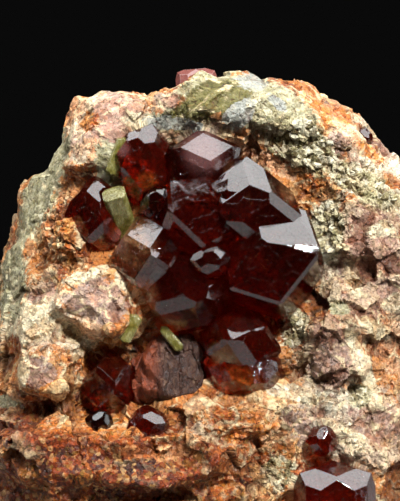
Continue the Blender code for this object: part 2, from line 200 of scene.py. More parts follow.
# Where each tint of the rock lies on the face: middle across and up, half width and height, turn in
# degrees, and strength. Calm and granular aren't tints: there the surface is smoother, or pitted.
PATCHES = {
    # Umber: dark brown rock that also carries painted shade, along the bottom and under the main cluster.
    "umber_and_shade": (
        (-12.5, -28.2, 16.5, 5.0, 0, 1.0),
        (-21.0, -22.6, 5.0, 2.0, -8, 0.8),
        (3.0, -31.0, 5.0, 2.4, 0, 0.6),
        (-5.0, -13.0, 4.4, 2.2, 0, 0.7),
    ),
    "cream": (
        (19.9, -14.0, 0.9, 5.0, 24, 1.0),
        (-16.4, -9.6, 3.4, 0.8, -38, 1.0),
        (-15.2, -12.8, 0.5, 2.6, 6, 1.0),
        (-21.6, -14.4, 0.8, 2.4, 4, 0.9),
        (-9.0, -4.0, 1.0, 2.2, 30, 0.9),
        (-21.5, -9.0, 4.6, 2.6, 20, 0.8),
        (11.5, -17.6, 5.0, 0.9, -14, 0.8),
        (17.5, -22.6, 3.0, 1.4, -30, 0.8),
        (-14.0, -3.0, 3.0, 0.7, 18, 0.8),
        (-4.4, 16.0, 5.4, 1.0, -4, 0.8),
        (22.6, 2.6, 2.4, 1.1, 10, 0.7),
        (18.8, -3.6, 1.1, 2.4, 10, 0.75),
        (24.2, -6.6, 1.6, 1.2, 0, 0.8),
        (21.6, -9.6, 2.6, 0.9, -30, 0.8),
    ),
    "mauve": (
        (-10.6, 16.4, 3.2, 4.0, 0, 1.0),
        (-14.6, 13.4, 2.4, 1.6, -30, 0.6),
        (-21.0, -6.0, 2.0, 1.2, 20, 0.7),
        (-4.2, 18.6, 1.8, 1.3, 20, 0.8),
        (-12.6, -6.2, 3.6, 2.6, -12, 1.0),
        (-20.0, -14.8, 2.2, 1.8, 0, 1.0),
        (23.0, 13.2, 2.0, 1.4, -40, 0.8),
        (25.6, 7.0, 1.4, 2.0, 10, 0.8),
        (17.2, 13.5, 1.5, 2.1, 0, 0.8),
        (21.0, -1.6, 4.4, 7.6, 0, 0.75),
        (16.2, -12.6, 2.6, 4.6, 8, 0.9),
        (12.4, -21.0, 3.2, 3.0, 0, 0.6),
        (21.6, -21.4, 3.8, 2.6, -20, 0.7),
        (-19.0, -4.6, 1.0, 1.2, 0, 1.0),
    ),
    "peach": (
        (18.8, 14.9, 7.4, 1.5, -43, 0.6),
        (7.8, 11.4, 5.2, 0.8, -31, 1.0),
        (-6.2, -24.2, 4.2, 0.9, -3, 1.0),
        (-15.5, 17.4, 2.2, 3.4, 0, 0.6),
        (-13.4, 12.6, 3.0, 1.4, 0, 0.7),
        (-14.0, -9.6, 2.4, 1.4, -20, 0.8),
        (24.0, -12.0, 2.0, 5.0, 12, 0.7),
    ),
    "orange": (
        (-14.0, 16.2, 1.2, 1.2, 0, 1.0),
        (-8.0, 19.7, 1.2, 0.8, -10, 0.9),
        # This patch lies where the rock is in shade left of the main cluster: its dark orange brown is
        # partly painted shade.
        (-14.6, 9.8, 2.2, 0.9, 8, 1.0),
        (14.8, 17.0, 1.8, 1.4, -45, 1.0),
        (21.6, 12.6, 2.2, 1.0, -40, 0.7),
        (-16.3, 2.8, 3.4, 3.6, 0, 0.55),
        (-12.2, -13.2, 3.4, 1.3, 27, 1.0),
        (-18.6, -19.2, 4.6, 1.5, -3, 1.0),
        (-23.4, -12.6, 1.4, 2.0, 10, 0.8),
        (-17.6, -3.2, 1.6, 0.8, 20, 0.8),
        (-9.0, -22.0, 6.6, 1.5, -5, 0.9),
        (-18.0, -22.4, 4.0, 1.2, -5, 0.9),
        (-10.6, -14.4, 2.0, 0.8, 30, 1.0),
        (5.6, -21.6, 4.6, 2.0, -12, 0.9),
        (8.6, -23.4, 2.2, 2.6, -20, 0.9),
        (-13.6, 4.4, 3.4, 2.0, -30, 0.7),
        (17.4, 17.4, 2.0, 1.0, -45, 0.8),
        (13.4, 8.4, 1.6, 1.6, 0, 0.8),
        (26.0, 1.0, 1.4, 3.0, 10, 0.6),
        (2.5, -27.4, 1.4, 3.0, 0, 0.9),
        (12.8, -26.8, 1.8, 1.5, 0, 0.9),
        (24.0, 8.4, 1.6, 1.4, 0, 0.8),
    ),
    "green": (
        (3.2, 20.0, 5.0, 2.8, -4, 1.0),
        (9.0, 17.3, 5.2, 3.4, -38, 1.0),
        (-2.4, 16.6, 4.6, 1.2, 8, 0.8),
        (12.5, 12.8, 4.6, 2.4, -30, 1.0),
        (20.6, 8.2, 5.6, 1.9, -27, 0.9),
        (15.8, 2.6, 1.9, 4.0, 0, 0.8),
        (11.4, -9.3, 1.5, 2.4, 0, 1.0),
        (19.8, -18.0, 1.4, 1.3, 0, 0.9),
        (16.9, -7.1, 1.3, 0.8, 0, 0.9),
        (-21.4, 7.0, 2.6, 8.6, -27, 0.9),
        (-24.6, -4.3, 2.4, 5.0, 0, 0.9),
        (-11.1, 10.2, 1.6, 3.4, 8, 0.9),
        (9.7, -27.1, 2.4, 2.4, 0, 0.6),
        (-24.0, -19.0, 2.0, 0.9, 0, 0.7),
    ),
    "calm": (
        (-13.5, -28.5, 15.5, 4.4, 0, 0.7),
        (-10.6, 16.9, 2.4, 3.4, 0, 1.0),
        (-15.6, 13.6, 3.0, 6.0, -8, 0.7),
        (-12.6, 20.0, 5.0, 1.2, 0, 0.9),
        (-19.4, -15.0, 3.4, 2.6, 0, 1.0),
        (-13.6, -6.4, 4.6, 3.0, -12, 0.8),
        (-21.4, -8.4, 3.6, 3.0, 0, 0.7),
        (2.6, 20.4, 5.6, 2.4, -4, 1.0),
        (9.4, 18.0, 3.6, 2.4, -38, 0.9),
        (-21.4, 7.0, 3.4, 9.4, -27, 0.9),
        (19.9, -14.0, 1.4, 5.4, 24, 0.9),
        (19.4, 14.9, 7.4, 2.0, -43, 0.6),
        (21.6, -21.4, 4.4, 3.0, -20, 0.6),
    ),
    "granular": (
        (12.5, 12.8, 5.0, 2.8, -30, 1.0),
        (20.6, 8.2, 5.6, 2.2, -27, 1.0),
        (15.8, 2.6, 2.2, 4.6, 0, 1.0),
        (11.4, -9.3, 1.7, 2.6, 0, 1.0),
        (19.8, -18.0, 1.6, 1.5, 0, 1.0),
        (-16.3, 2.8, 4.2, 4.2, 0, 0.9),
        (8.0, 17.6, 2.4, 1.2, -38, 0.6),
        (9.7, -27.1, 2.6, 2.6, 0, 0.6),
        (-14.0, 16.2, 1.2, 1.4, 0, 0.8),
    ),
    "olive": (
        (1.0, 18.6, 3.0, 2.2, 35, 1.0),
        (3.2, 19.8, 3.0, 1.9, 20, 1.0),
        (-1.6, 16.9, 2.6, 1.6, 35, 0.9),
        (-6.2, 14.6, 1.3, 1.0, 0, 0.8),
        (-7.6, 12.4, 0.8, 1.6, 0, 0.8),
    ),
    "slate": (
        (4.7, 16.6, 2.2, 1.3, 50, 1.0),
        (6.6, 21.6, 2.2, 1.4, 0, 0.7),
        (-3.6, 15.9, 3.6, 0.8, -6, 0.8),
        (9.6, 18.2, 1.8, 0.7, -38, 0.7),
    ),
    "beige": (
        (21.5, -2.0, 6.5, 9.0, 0, 1.0),
        (19.5, -21.5, 7.5, 4.5, -15, 1.0),
        (16.0, -13.0, 4.0, 5.0, 0, 0.9),
        (-19.0, -8.0, 7.0, 4.5, 10, 0.55),
        (3.0, -22.0, 4.0, 1.6, -10, 0.7),
        (-3.0, 15.0, 6.0, 1.4, 0, 0.8),
        (-12.0, 14.6, 5.5, 5.5, 0, 0.8),
        (22.5, 11.8, 6.0, 3.4, -43, 0.8),
    ),
}
PATCH_FADES = 1.6  # a patch has faded out at this many times its half size
BLOTCH_WAVES = 9
BLOTCH_FINENESS = 0.16  # per millimetre
BLOTCH_GAIN = 0.25
BLOTCH_START = 0.15
BACK_STARTS = -12  # millimetres out of the face, where the listed patches have ended
BACK_BLEND = 4
FIRST_SEED = 3


def patch_strength(face, patches, seed):
    """How strongly a tint shows at each place: as listed on the face, in broad blotches behind it."""
    listed = np.zeros(len(face))
    for across, up, half_width, half_height, turn, strength in patches:
        angle = math.radians(turn)
        x = face[:, 0] - across
        y = face[:, 1] - up
        u = (x * math.cos(angle) + y * math.sin(angle)) / half_width
        v = (y * math.cos(angle) - x * math.sin(angle)) / half_height
        listed = np.maximum(listed, strength * np.clip(PATCH_FADES - np.sqrt(u * u + v * v), 0, 1))
    draw = np.random.default_rng(seed)
    blotch = np.zeros(len(face))
    for _ in range(BLOTCH_WAVES):
        wave = draw.normal(size=3) * BLOTCH_FINENESS
        blotch += np.sin(face @ wave + draw.uniform(0, 2 * math.pi))
    behind = np.clip(blotch * BLOTCH_GAIN - BLOTCH_START, 0, 1)
    ahead = np.clip((face[:, 2] - BACK_STARTS) / BACK_BLEND, 0, 1)
    return listed * ahead + behind * (1 - ahead)


def store(mesh, name, values):
    made = mesh.attributes.new(name, "FLOAT", "POINT")
    made.data.foreach_set("value", values.astype(np.float32))


def places(mesh):
    flat = np.empty(len(mesh.vertices) * 3, dtype=np.float32)
    mesh.vertices.foreach_get("co", flat)
    return flat.reshape(-1, 3).astype(float)


def finer_copy(name, node_name, step):
    """A piece with a CAD node's shape in even faces of about the step, fine enough to carry relief."""
    bm = merged(node_name)
    mesh = bpy.data.meshes.new(name)
    bm.to_mesh(mesh)
    bm.free()
    piece = add_piece(name, mesh)
    finer = piece.modifiers.new("finer", "REMESH")
    finer.mode = "VOXEL"
    finer.voxel_size = step
    return piece, freeze(piece)


ROCK_STEP = 0.29 * MM
rock, rock_mesh = finer_copy("matrix_rock", "matrix", ROCK_STEP)

crystal_names = sorted(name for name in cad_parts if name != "matrix")
crystals = bmesh.new()
for name in crystal_names:
    crystals.from_mesh(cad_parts[name].data)
crystal_walls = BVHTree.FromBMesh(crystals)
crystals.free()

GAP = 0.3 * MM  # between a CAD crystal and its pocket
ROOM = 1.1 * MM  # the relief grows to its full height over this way from the gap
LEAST_RELIEF = 0.12
BASE_BAND = 1.5 * MM  # and over this height above the base


def beyond_crystals(points):
    """How far each place lies outside the nearest crystal, and the nearest point there with its normal."""
    far = np.full(len(points), ROOM * 2)
    feet = {}
    for index, point in enumerate(points):
        foot, normal, _, distance = crystal_walls.find_nearest(Vector(point), ROOM * 2)
        if foot is not None:
            far[index] = math.copysign(distance, (Vector(point) - foot).dot(normal))
            feet[index] = (foot, normal)
    return far, feet


rock_points = places(rock_mesh)
rock_face = to_face(rock_points)
distance, _ = beyond_crystals(rock_points)
free = np.clip((distance - GAP) / ROOM, LEAST_RELIEF, 1)
free = free * np.clip(rock_points[:, 2] / BASE_BAND, 0, 1)
store(rock_mesh, "free", free)
for number, (tint, patches) in enumerate(PATCHES.items()):
    store(rock_mesh, tint, patch_strength(rock_face, patches, FIRST_SEED + number))


def named(tree, name):
    """A number stored on the mesh, as a geometry node tree reads it."""
    made = node(tree, "GeometryNodeInputNamedAttribute", {"Name": name}, data_type="FLOAT")
    return made.outputs[0]


def mixed(tree, factor, a, b):
    return node(tree, "ShaderNodeMix", {0: factor, 2: a, 3: b}).outputs[0]


def stored(tree, geometry, name, value, data_type):
    made = node(
        tree,
        "GeometryNodeStoreNamedAttribute",
        {"Geometry": geometry, "Name": name, "Value": value},
        data_type=data_type,
        domain="POINT",
    )
    return made.outputs[0]


# How the rock broke: the steps between its grains and the fine unevenness in millimetres, the tilts of the
# grains' faces as slopes, and how much of each shows in massive diopside, among lumps and where it is calm.
stone, stone_tree = new_material("massive garnet and diopside")
BREAK = {
    "Big step": 0.46,
    "Big tilt": 0.42,
    "Small step": 0.18,
    "Small tilt": 0.42,
    "Lump step": 0.75,
    "Lump tilt": 0.8,
    "Lump gap": 0.3,
    "Lump border": 0.08,
    "Fine": 0.34,
    "Big in diopside": 0.7,
    "Small in diopside": 0.45,
    "Big among lumps": 0.5,
    "Lost where calm": 0.75,
}
breaking, break_sockets = new_shaping("broken grains", BREAK)
given = node(breaking, "NodeGroupInput").outputs
spot = scaled(breaking, node(breaking, "GeometryNodeInputPosition").outputs[0], 1 / MM)
colour, away, _ = grains(breaking, spot, BIG_GRAIN, GRAIN_WAVER)
big_height = grain_height(breaking, colour, away, given["Big tilt"], given["Big step"])
colour, away, _ = grains(breaking, spot, SMALL_GRAIN, GRAIN_WAVER)
small_height = grain_height(breaking, colour, away, given["Small tilt"], given["Small step"])
colour, away, lump_border = grains(breaking, spot, LUMP_GRAIN, GRAIN_WAVER)
lump_height = grain_height(breaking, colour, away, given["Lump tilt"], given["Lump step"])
uneven = node(breaking, "ShaderNodeTexNoise", {"Vector": spot, "Scale": 1.2, "Detail": 3.0})
uneven = sums(breaking, "SUBTRACT", uneven.outputs[0], 0.5)
fine_height = times(breaking, uneven, given["Fine"])
garnet_height = plus(breaking, big_height, small_height)
small_height = times(breaking, small_height, given["Small in diopside"])
green_height = times_plus(breaking, big_height, given["Big in diopside"], small_height)
between_lumps = sums(breaking, "LESS_THAN", lump_border, given["Lump border"])
sunk = times(breaking, between_lumps, times(breaking, given["Lump gap"], -1.0))
lump_height = plus(breaking, lump_height, sunk)
grainy_height = times_plus(breaking, big_height, given["Big among lumps"], lump_height)
height = mixed(breaking, named(breaking, "green"), garnet_height, green_height)
height = mixed(breaking, named(breaking, "granular"), height, grainy_height)
height = times(breaking, plus(breaking, height, fine_height), named(breaking, "free"))
lost = times(breaking, named(breaking, "calm"), given["Lost where calm"])
height = times(breaking, height, sums(breaking, "SUBTRACT", 1.0, lost))
push = scaled(breaking, node(breaking, "GeometryNodeInputNormal").outputs[0], height)
kept = stored(breaking, given["Geometry"], "rest", spot, "FLOAT_VECTOR")
kept = stored(breaking, kept, "height", height, "FLOAT")
moved = node(
    breaking, "GeometryNodeSetPosition", {"Geometry": kept, "Offset": scaled(breaking, push, MM)}
)
end_shaping(breaking, moved.outputs[0], stone)
rock_mesh = shape(rock, breaking, break_sockets, BREAK)

# The rock grew up to its crystals with no gap, so the walls of the pockets close on them.
CLOSES = 0.5 * MM
BITE = 0.04 * MM
NEAR = 0.8  # of the full relief
rock_points = places(rock_mesh)
near = np.flatnonzero(free < NEAR)
distance, feet = beyond_crystals(rock_points[near])
for index in np.flatnonzero(distance < CLOSES):
    if index in feet:
        foot, normal = feet[index]
        rock_points[near[index]] = foot - normal * BITE
rock_points[:, 2] = np.maximum(rock_points[:, 2], 0)
rock_mesh.vertices.foreach_set("co", rock_points.astype(np.float32).ravel())
rock_mesh.update()

# Fewer triangles behind and underneath, and then wherever the surface is flat.
BEHIND = -7  # millimetres out of the face
KEPT_BEHIND = 0.555
KEPT_AT_LAST = 0.81
behind = rock.vertex_groups.new(name="behind")
behind.add([int(index) for index in np.flatnonzero(rock_face[:, 2] < BEHIND)], 1.0, "REPLACE")
for name, ratio in (("behind", KEPT_BEHIND), ("", KEPT_AT_LAST)):
    thinner = rock.modifiers.new("thinner", "DECIMATE")
    thinner.ratio = ratio
    thinner.vertex_group = name
freeze(rock)
rock.vertex_groups.clear()


def attribute(tree, name, socket="Fac"):
    """A value stored on the mesh, as a material reads it."""
    made = node(tree, "ShaderNodeAttribute", attribute_name=name, attribute_type="GEOMETRY")
    return made.outputs[socket]


def ramp(tree, factor, stops, interpolation="LINEAR"):
    """Colours along a factor, each stop (position, colour)."""
    made = node(tree, "ShaderNodeValToRGB", {0: factor})
    made.color_ramp.interpolation = interpolation
    points = made.color_ramp.elements
    while len(points) < len(stops):
        points.new(0.5)
    for point, (position, colour) in zip(points, stops):
        point.position = position
        point.color = (*colour, 1)
    return made.outputs[0]


def mixed_colour(tree, factor, a, b, blend="MIX"):
    made = node(tree, "ShaderNodeMix", data_type="RGBA", blend_type=blend)
    for key, value in ((0, factor), (6, a), (7, b)):
        if isinstance(value, bpy.types.NodeSocket):
            tree.links.new(value, made.inputs[key])
        else:
            made.inputs[key].default_value = value if key == 0 else (*value, 1)
    return made.outputs[2]


def between(tree, value, low, high, to_low=0.0, to_high=1.0):
    """Rises smoothly from one value to the other as the given one goes from low to high."""
    made = node(
        tree,
        "ShaderNodeMapRange",
        {0: value, 1: low, 2: high, 3: to_low, 4: to_high},
        interpolation_type="SMOOTHSTEP",
    )
    return made.outputs[0]


def noise(tree, spot, scale, detail=3.0, roughness=0.55, distortion=0.0):
    values = {"Scale": scale, "Detail": detail, "Roughness": roughness, "Distortion": distortion}
    return node(tree, "ShaderNodeTexNoise", {"Vector": spot, **values}).outputs["Fac"]


def streaks(tree, along, detail):
    """Uneven lines that follow one another along a number."""
    values = {"W": along, "Scale": 1.0, "Detail": detail, "Roughness": 0.7}
    return node(tree, "ShaderNodeTexNoise", values, noise_dimensions="1D").outputs["Fac"]


def channels(tree, colour):
    return node(tree, "ShaderNodeSeparateColor", {0: colour}).outputs


tree = stone_tree
spot = attribute(tree, "rest", "Vector")
flattened = vectors(tree, "MULTIPLY", spot, (0.8, 1.0, 1.3))
upright = vectors(tree, "MULTIPLY", spot, (1.3, 1.0, 0.7))
big_colour, _, _ = grains(tree, spot, BIG_GRAIN, GRAIN_WAVER)
small_colour, small_away, _ = grains(tree, spot, SMALL_GRAIN, GRAIN_WAVER)
lump_colour, _, _ = grains(tree, spot, LUMP_GRAIN, GRAIN_WAVER)
sugar_colour, sugar_away, _ = grains(tree, spot, SUGAR_GRAIN, FINE_WAVER)
_, _, vein_border = grains(tree, flattened, VEIN_GRAIN, LOOSE_WAVER)
_, _, crack_border = grains(tree, upright, CRACK_GRAIN, FINE_WAVER)
big = channels(tree, big_colour)
small = channels(tree, small_colour)
lump = channels(tree, lump_colour)
sugar = channels(tree, sugar_colour)
cloud = noise(tree, spot, 0.5, 4.0, 0.6, 0.8)
mottle = noise(tree, spot, 1.7, 4.0, 0.65, 0.5)
grit = noise(tree, spot, 5.5, 3.0, 0.65)
fleck = noise(tree, spot, 3.1, 2.0, 0.5)
height = attribute(tree, "height")
umber_and_shade = attribute(tree, "umber_and_shade")
green = attribute(tree, "green")

# Fine hair lines run across every small grain, each its own way, over uneven partings.
HAIRS = 14.0  # across a small grain
lean = vectors(tree, "SUBTRACT", small_colour, (0.5, 0.5, 0.5))
across = times(tree, vectors(tree, "DOT_PRODUCT", small_away, lean), HAIRS)
parting = streaks(tree, times(tree, grit, 1.5), 3.0)
hair = streaks(tree, plus(tree, grit, across), 2.0)

# A grain's own place in the row of its tint's colours: its big grain, itself and its mottle share in it.
BIG_SHARE = 0.34
SMALL_SHARE = 0.26
MOTTLE_SHARE = 0.40
pick = times_plus(tree, big[0], BIG_SHARE, times(tree, small[0], SMALL_SHARE))
pick = plus(tree, pick, times(tree, mottle, MOTTLE_SHARE))
FIRST_STOP = 0.22
LAST_STOP = 0.78


def tints(colours):
    """A grain's colour out of a row of them, dark to pale."""
    stops = np.linspace(FIRST_STOP, LAST_STOP, len(colours))
    return ramp(tree, pick, tuple(zip(stops, colours)))


BY_GRAIN = 0.3  # how far a patch's edge follows the small grains


def patch(name, low, high, ragged):
    """A tint's patch with an edge that follows the grains."""
    edge = plus(tree, attribute(tree, name), times_plus(tree, small[2], BY_GRAIN, -BY_GRAIN / 2))
    edge = plus(tree, edge, times_plus(tree, mottle, ragged, -ragged / 2))
    return between(tree, edge, low, high)


# The tints in the order in which they lie over one another: where each one's patch starts and is full,
# how ragged its edge is, and its grains' colours.
PLAIN_GARNET = (
    (0.10, 0.018, 0.003),
    (0.38, 0.095, 0.016),
    (0.60, 0.23, 0.055),
    (0.48, 0.19, 0.07),
    (0.74, 0.41, 0.16),
    (0.82, 0.61, 0.33),
)
# Umber grains: dark brown, darker still as painted shade.
UMBER_AND_PAINTED_SHADE = (
    (0.018, 0.003, 0.001),
    (0.10, 0.017, 0.002),
    (0.25, 0.05, 0.004),
    (0.15, 0.075, 0.008),
    (0.42, 0.15, 0.022),
)
BEIGE = (
    (0.20, 0.090, 0.040),
    (0.48, 0.30, 0.17),
    (0.68, 0.52, 0.34),
    (0.53, 0.37, 0.26),
    (0.80, 0.69, 0.49),
    (0.88, 0.81, 0.62),
)
MAUVE = (
    (0.18, 0.070, 0.045),
    (0.34, 0.18, 0.12),
    (0.46, 0.28, 0.20),
    (0.38, 0.26, 0.21),
    (0.66, 0.48, 0.35),
)
PEACH = ((0.48, 0.18, 0.07), (0.74, 0.36, 0.17), (0.84, 0.50, 0.29), (0.88, 0.64, 0.42))
CREAM = (
    (0.46, 0.26, 0.12),
    (0.72, 0.55, 0.32),
    (0.82, 0.73, 0.50),
    (0.62, 0.43, 0.25),
    (0.86, 0.80, 0.60),
)
ORANGE = ((0.10, 0.018, 0.003), (0.36, 0.075, 0.010), (0.64, 0.19, 0.03), (0.80, 0.36, 0.10))
OLIVE = ((0.03, 0.027, 0.004), (0.08, 0.07, 0.012), (0.14, 0.125, 0.03), (0.26, 0.23, 0.09))
SLATE = ((0.16, 0.15, 0.10), (0.28, 0.28, 0.23), (0.36, 0.37, 0.33), (0.46, 0.46, 0.35))
GARNET_LAYERS = (
    ("umber_and_shade", 0.30, 0.65, 0.9, UMBER_AND_PAINTED_SHADE),
    ("beige", 0.30, 0.60, 0.9, BEIGE),
    ("mauve", 0.40, 0.60, 0.9, MAUVE),
    ("peach", 0.40, 0.60, 0.9, PEACH),
    ("cream", 0.35, 0.60, 0.6, CREAM),
    ("orange", 0.40, 0.60, 0.7, ORANGE),
)
DIOPSIDE_LAYERS = (
    ("olive", 0.40, 0.60, 0.5, OLIVE),
    ("slate", 0.40, 0.55, 0.6, SLATE),
)
tint = tints(PLAIN_GARNET)
for name, low, high, ragged, colours in GARNET_LAYERS:
    tint = mixed_colour(tree, patch(name, low, high, ragged), tint, tints(colours))

# Diopside: sage and waxy where it is massive, paler and greener where it is granular.
sage = ramp(
    tree,
    times_plus(tree, mottle, 0.65, times(tree, cloud, 0.35)),
    (
        (0.30, (0.13, 0.11, 0.035)),
        (0.42, (0.29, 0.26, 0.13)),
        (0.54, (0.46, 0.43, 0.27)),
        (0.70, (0.62, 0.59, 0.43)),
    ),
)
loose_green = ramp(
    tree,
    times_plus(tree, lump[0], 0.5, times(tree, grit, 0.5)),
    (
        (0.25, (0.09, 0.07, 0.025)),
        (0.40, (0.38, 0.33, 0.16)),
        (0.55, (0.70, 0.64, 0.42)),
        (0.75, (0.86, 0.81, 0.60)),
    ),
)
diopside = mixed_colour(tree, patch("granular", 0.4, 0.6, 0.9), sage, loose_green)
tint = mixed_colour(tree, patch("green", 0.36, 0.56, 0.8), tint, diopside)
for name, low, high, ragged, colours in DIOPSIDE_LAYERS:
    tint = mixed_colour(tree, patch(name, low, high, ragged), tint, tints(colours))

# Crumbs of every tint lie on the surface, thickest on the orange parts and on the umber parts, which
# also carry painted shade.
crumb_colour, _, _ = grains(tree, spot, CRUMB, LOOSE_WAVER)
crumb = channels(tree, crumb_colour)
crumb_tint = ramp(
    tree,
    crumb[0],
    (
        (0.0, (0.04, 0.010, 0.002)),
        (0.28, (0.30, 0.06, 0.006)),
        (0.45, (0.60, 0.22, 0.04)),
        (0.60, (0.34, 0.22, 0.05)),
        (0.74, (0.80, 0.60, 0.32)),
        (0.88, (0.62, 0.36, 0.20)),
    ),
    "CONSTANT",
)
crumbly = sums(tree, "MAXIMUM", umber_and_shade, attribute(tree, "orange"))
crumbly = times_plus(tree, crumbly, 0.35, 0.20)
crumbly = times(tree, crumbly, times_plus(tree, green, -0.8, 1.0))
crumbly = times(tree, crumbly, between(tree, plus(tree, crumb[1], mottle), 0.7, 1.1))
tint = mixed_colour(tree, crumbly, tint, crumb_tint)
# Painted shade: the umber patches are darkened again by a multiplied tint.
PAINTED_SHADE_OVER_UMBER = (0.88, 0.66, 0.46)
tint = mixed_colour(tree, patch("umber_and_shade", 0.25, 0.60, 0.9), tint, PAINTED_SHADE_OVER_UMBER, "MULTIPLY")

# Pale crushed seams and dark cracks run between the grains. Proud places get painted light, a pale tint,
# and hollows get painted shade, a dark red brown.
SEAM = (0.84, 0.68, 0.40)
CRACK = (0.06, 0.016, 0.004)
PAINTED_LIGHT_ON_PROUD = (0.84, 0.66, 0.38)
PAINTED_SHADE_IN_HOLLOWS = (0.13, 0.028, 0.005)
seam = times(tree, between(tree, vein_border, 0.12, 0.01), between(tree, cloud, 0.48, 0.60))
seam = times(tree, seam, sums(tree, "SUBTRACT", 0.8, times(tree, umber_and_shade, 0.7)))
tint = mixed_colour(tree, seam, tint, SEAM)
crack = times(tree, between(tree, crack_border, 0.045, 0.01), between(tree, fleck, 0.50, 0.62))
tint = mixed_colour(tree, times(tree, crack, 0.7), tint, CRACK)
# Painted light: proud places are tinted pale.
painted_light_on_proud = between(tree, height, 0.10, 0.55)
tint = mixed_colour(tree, times(tree, painted_light_on_proud, 0.3), tint, PAINTED_LIGHT_ON_PROUD)
# Painted shade: hollows are tinted dark red brown.
painted_shade_in_hollows = between(tree, height, -0.10, -0.55)
painted_shade_in_hollows = times(tree, painted_shade_in_hollows, times_plus(tree, green, -0.40, 0.75))
tint = mixed_colour(tree, painted_shade_in_hollows, tint, PAINTED_SHADE_IN_HOLLOWS)

# Sugary grit makes every grain uneven in tone, with a few near-black specks of painted shade for
# pits. Diopside is more even.
LEAST_TONE = 0.15
FULL_TONE = 0.72
tone = times_plus(tree, sugar[1], 0.70, times_plus(tree, grit, 1.4, -1.12))
tone = times_plus(tree, parting, 1.2, plus(tree, hair, tone))
tone = sums(tree, "MAXIMUM", tone, LEAST_TONE)
tone = mixed(tree, times_plus(tree, green, 0.25, 0.12), tone, 1.0)
# Painted shade: near-black specks stand for the shade in tiny pits.
pit_shade = times(tree, between(tree, fleck, 0.36, 0.28), 0.75)
tone = times(tree, tone, times_plus(tree, pit_shade, -FULL_TONE, FULL_TONE))
grey = node(tree, "ShaderNodeCombineColor", {0: tone, 1: tone, 2: tone}).outputs[0]
tint = mixed_colour(tree, 1.0, tint, grey, "MULTIPLY")

# The finest relief: slope and step of the small and the sugary grains, then heights in millimetres.
SMALL_RELIEF = (0.55, 0.15)
SUGAR_RELIEF = (1.1, 0.16)
GRIT_HEIGHT = 0.16
PARTING_HEIGHT = 0.20
HAIR_HEIGHT = 0.10
CRACK_DEPTH = 0.15
SEAM_HEIGHT = 0.06
LOST_WHERE_CALM = 0.45
relief = grain_height(tree, small_colour, small_away, *SMALL_RELIEF)
relief = plus(tree, relief, grain_height(tree, sugar_colour, sugar_away, *SUGAR_RELIEF))
relief = times_plus(tree, grit, GRIT_HEIGHT, relief)
relief = times_plus(tree, parting, PARTING_HEIGHT, times_plus(tree, hair, HAIR_HEIGHT, relief))
relief = times_plus(tree, crack, -CRACK_DEPTH, relief)
relief = times_plus(tree, seam, SEAM_HEIGHT, relief)
firm = times_plus(tree, attribute(tree, "calm"), -LOST_WHERE_CALM, 1.0)
bump = node(tree, "ShaderNodeBump", {"Height": relief, "Strength": firm, "Distance": MM})
gloss = between(tree, times_plus(tree, mottle, 0.5, sugar[2]), 0.25, 1.1, 0.22, 0.7)
shader = node(
    tree,
    "ShaderNodeBsdfPrincipled",
    {
        "Base Color": tint,
        "Roughness": gloss,
        "IOR": 1.5,
        "Specular IOR Level": 0.3,
        "Normal": bump.outputs[0],
    },
)
node(tree, "ShaderNodeOutputMaterial", {"Surface": shader.outputs[0]})
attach(rock, "root")
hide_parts("matrix")


# --- The garnets ----------------------------------------------------------------------------------
# Sound garnet crystals, dark red and clear, with a painted orange glow where they are thin. They grew
# onto the rock, with rhombic and kite-shaped faces that growth has lightly stepped, and edges that are
# barely worn.

FLAT = math.radians(1)  # between triangles of one face
SHARP = 0.1  # radians, between two faces
LEAST_EDGE = 6  # an edge shorter than this many times the wear isn't worn


def crystal_mesh(name, wear):
    """A crystal's flat faces with their edges worn by a width in metres."""
    bm = merged(name)
    bmesh.ops.dissolve_limit(bm, angle_limit=FLAT, verts=bm.verts, edges=bm.edges)
    sharp = [edge for edge in bm.edges if edge.is_manifold and edge.calc_face_angle(0) > SHARP]
    worn = [edge for edge in sharp if edge.calc_length() > LEAST_EDGE * wear]
    bmesh.ops.bevel(bm, geom=worn, offset=wear, segments=1, affect="EDGES", clamp_overlap=True)
    bmesh.ops.triangulate(bm, faces=bm.faces)
    mesh = bpy.data.meshes.new(name)
    bm.to_mesh(mesh)
    bm.free()
    return mesh


# Where the crystals are thin or cracked inside, a warm glow of light let through is painted into their
# colour: across, up and reach.
PAINTED_GLOWS = (
    (-8.2, 1.4, 3.6),
    (-7.8, -4.6, 3.4),
    (-3.6, -8.6, 2.6),
    (3.4, 11.0, 1.6),
    (10.6, 8.0, 2.0),
    (4.8, -16.0, 3.8),
    (1.8, -12.6, 1.8),
    (-6.6, 9.2, 1.8),
    (-12.0, -0.6, 2.2),
    (-11.4, -17.6, 1.8),
    (-6.3, -22.4, 1.6),
    (13.6, -24.6, 1.6),
)
# Where they are cloudy and paler: partly real cloud, partly a painted sheen, strongest on the top of the
# main cluster.
CLOUDS_AND_SHEEN = ((0.3, 12.6, 3.2), (-9.6, 1.6, 2.0), (-9.4, 13.0, 1.4))
CLOUD_AND_SHEEN_TINT = (0.54, 0.27, 0.26)
CLOUD_AND_SHEEN_STRENGTH = 0.7
CLOUD_MILK = 0.12
FLAW_MILK = 0.11
STRETCH = (1, 0.3, 1)  # such a place reaches further in from front to back
RIM = 1.15  # and fades from here, in reaches
CORE = 0.6  # to here, where it is full


def nearness(tree, spot, listed):
    """Rises to 1 in the listed places of the crystals."""
    most = 0.0
    for across, up, reach in listed:
        middle = FACE_MIDDLE / MM + Vector((across, up * math.sin(FACE_LEAN), up * math.cos(FACE_LEAN)))
        flat = vectors(tree, "MULTIPLY", vectors(tree, "SUBTRACT", spot, middle), STRETCH)
        away = node(tree, "ShaderNodeVectorMath", {0: flat}, operation="LENGTH").outputs["Value"]
        most = sums(tree, "MAXIMUM", between(tree, away, reach * RIM, reach * CORE), most)
    return most


